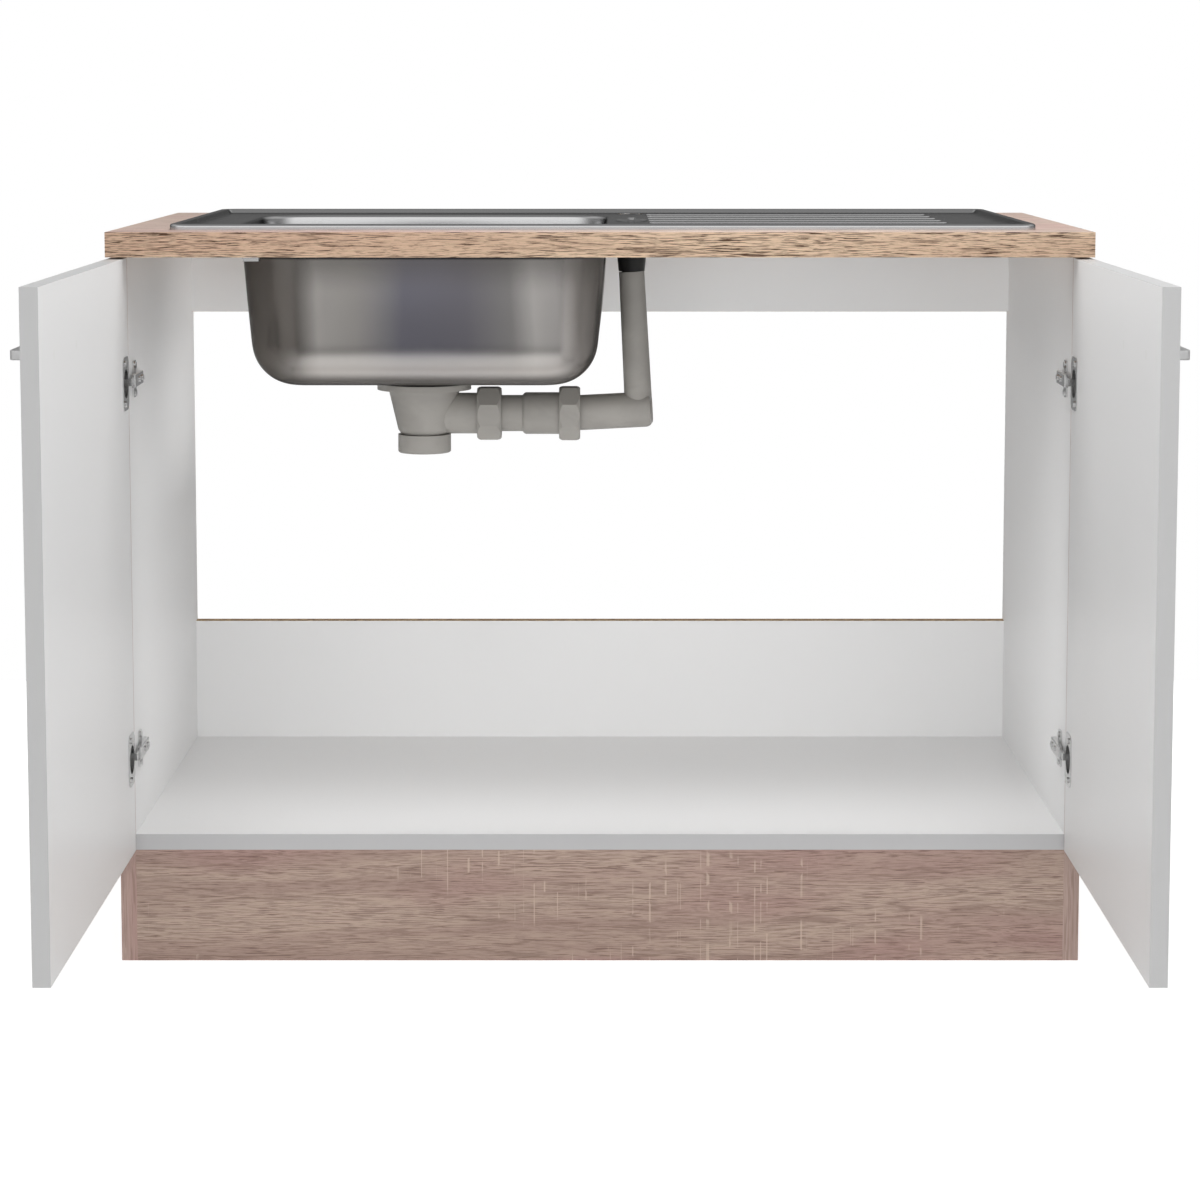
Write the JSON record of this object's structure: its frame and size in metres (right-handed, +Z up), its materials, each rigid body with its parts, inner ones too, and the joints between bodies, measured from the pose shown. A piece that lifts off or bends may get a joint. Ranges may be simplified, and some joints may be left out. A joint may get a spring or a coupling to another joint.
{
  "type": "kitchen sink unit",
  "caption": "Free-standing kitchen sink base unit: open-backed cupboard with hinged doors, worktop with an inset steel sink and drainer, strainer waste and overflow pipe.",
  "frame": {"origin": "on the floor, in the middle of the plinth board's foot", "axes": "+Z up, +Y towards the wall behind the unit, +X to the right as seen from the front; modelled with both doors open at a right angle"},
  "size_m": [1.149, 1.111, 0.846],
  "materials": {
    "white_board": "white melamine-faced chipboard, satin",
    "oak_board": "grey oak decor laminate, matt",
    "oak_edging": "grey oak decor edge strip, matt",
    "pale_edging": "pale melamine edge strip, matt",
    "sink_steel": "brushed stainless steel",
    "handle_steel": "satin nickel",
    "fixing_steel": "bright zinc plate",
    "grey_plastic": "grey polypropylene",
    "black_plastic": "black polypropylene",
    "white_plastic": "white cover cap",
    "black_rubber": "black rubber",
    "grey_foam": "grey sealing strip",
    "raw_wood": "plain beech"
  },
  "bodies": {
    "cabinet": {"side_panel_left": "white_board", "side_panel_right": "white_board", "side_front_edgings": "oak_edging", "bottom_panel": "white_board", "bottom_front_edging": "pale_edging", "back_rail": "white_board", "back_board_lower": "white_board", "plinth_board": "oak_board", "cam_locks": "fixing_steel", "cam_bolts": "fixing_steel", "wooden_dowels": "raw_wood", "worktop_board": "oak_board", "worktop_front_edging": "oak_edging", "worktop_side_edgings": "oak_edging", "worktop_brackets": "fixing_steel", "bracket_screws": "fixing_steel", "sink_pressing": "sink_steel", "sink_rim_seal": "grey_foam", "sink_anchor_tabs": "sink_steel", "sink_claws": "fixing_steel", "claw_screws": "fixing_steel", "strainer_seal": "black_rubber", "strainer_cup": "sink_steel", "strainer_screw": "fixing_steel", "waste_gasket": "black_rubber", "waste_body": "grey_plastic", "outlet_nut": "grey_plastic", "outlet_washer": "black_rubber", "branch_nut": "grey_plastic", "branch_washer": "black_rubber", "overflow_coupling": "grey_plastic", "elbow_nut": "grey_plastic", "elbow_washer": "black_rubber", "overflow_pipe": "grey_plastic", "overflow_connector": "black_plastic", "overflow_rosette": "sink_steel", "overflow_screw": "fixing_steel", "mounting_plates": "fixing_steel", "plate_screws": "fixing_steel", "adjusting_screws": "fixing_steel", "hinge_arms_left": "fixing_steel", "hinge_arms_right": "fixing_steel"},
    "door_left": {"door_left_panel": "white_board", "handle_left": "handle_steel", "handle_screws_left": "fixing_steel", "handle_caps_left": "white_plastic", "hinge_cups_left": "fixing_steel", "hinge_pins_left": "fixing_steel", "cup_screws_left": "fixing_steel"},
    "door_right": {"door_right_panel": "white_board", "handle_right": "handle_steel", "handle_screws_right": "fixing_steel", "handle_caps_right": "white_plastic", "hinge_cups_right": "fixing_steel", "hinge_pins_right": "fixing_steel", "cup_screws_right": "fixing_steel"},
    "strainer_basket": {"strainer_basket": "sink_steel", "basket_knob": "sink_steel", "basket_plug_seal": "black_rubber"}
  },
  "joints": [
    {"name": "door_left", "type": "hinge", "parent": "cabinet", "child": "door_left", "pos_m": [-0.5405, -0.0215, 0.455], "axis": [0, 0, 1], "range_deg": [-5, 90]},
    {"name": "door_right", "type": "hinge", "parent": "cabinet", "child": "door_right", "pos_m": [0.5405, -0.0215, 0.455], "axis": [0, 0, -1], "range_deg": [-5, 90]},
    {"name": "basket_lift", "type": "slide", "parent": "cabinet", "child": "strainer_basket", "axis": [0, 0, 1], "range_m": [0, 0.25]}
  ]
}
